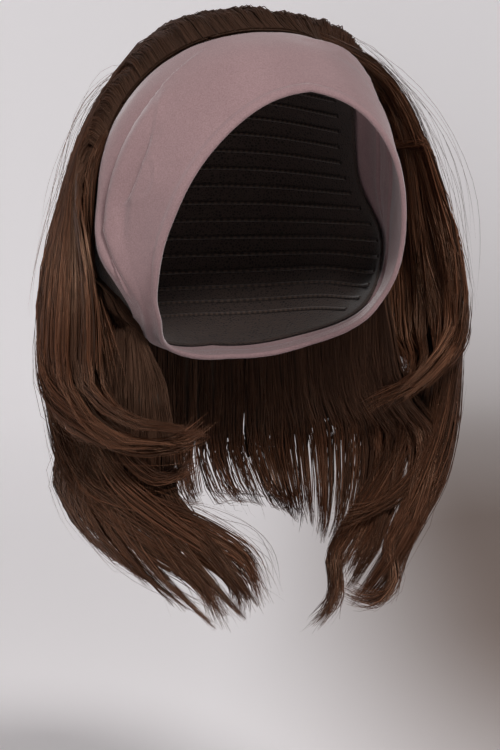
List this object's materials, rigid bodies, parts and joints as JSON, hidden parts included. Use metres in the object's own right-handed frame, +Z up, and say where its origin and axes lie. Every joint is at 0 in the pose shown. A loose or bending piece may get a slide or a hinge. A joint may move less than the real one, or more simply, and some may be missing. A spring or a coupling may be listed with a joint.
{
  "type": "half wig",
  "caption": "Half wig: a wide stretch cloth headband with layered shoulder-length wavy hair hanging from a thin cap behind it.",
  "frame": {"origin": "highest point inside, where the band rests on the crown of the head", "axes": "+Z up, -Y the way the wearer faces, -X the wearer's right"},
  "size_m": [0.2416, 0.2011, 0.3454],
  "materials": {
    "band_cloth": "soft matt jersey, dusty mauve",
    "cap_net": "matt black-brown stretch net",
    "hair": "glossy dark brown fibre"
  },
  "bodies": {
    "root": {"headband": "band_cloth", "wig_cap": "cap_net", "outer_hair_right_side": "hair", "outer_hair_right_back": "hair", "outer_hair_back": "hair", "outer_hair_left_back": "hair", "outer_hair_left_side": "hair", "under_hair_right_side": "hair", "under_hair_right_back": "hair", "under_hair_back": "hair", "under_hair_left_back": "hair", "under_hair_left_side": "hair"}
  },
  "joints": []
}
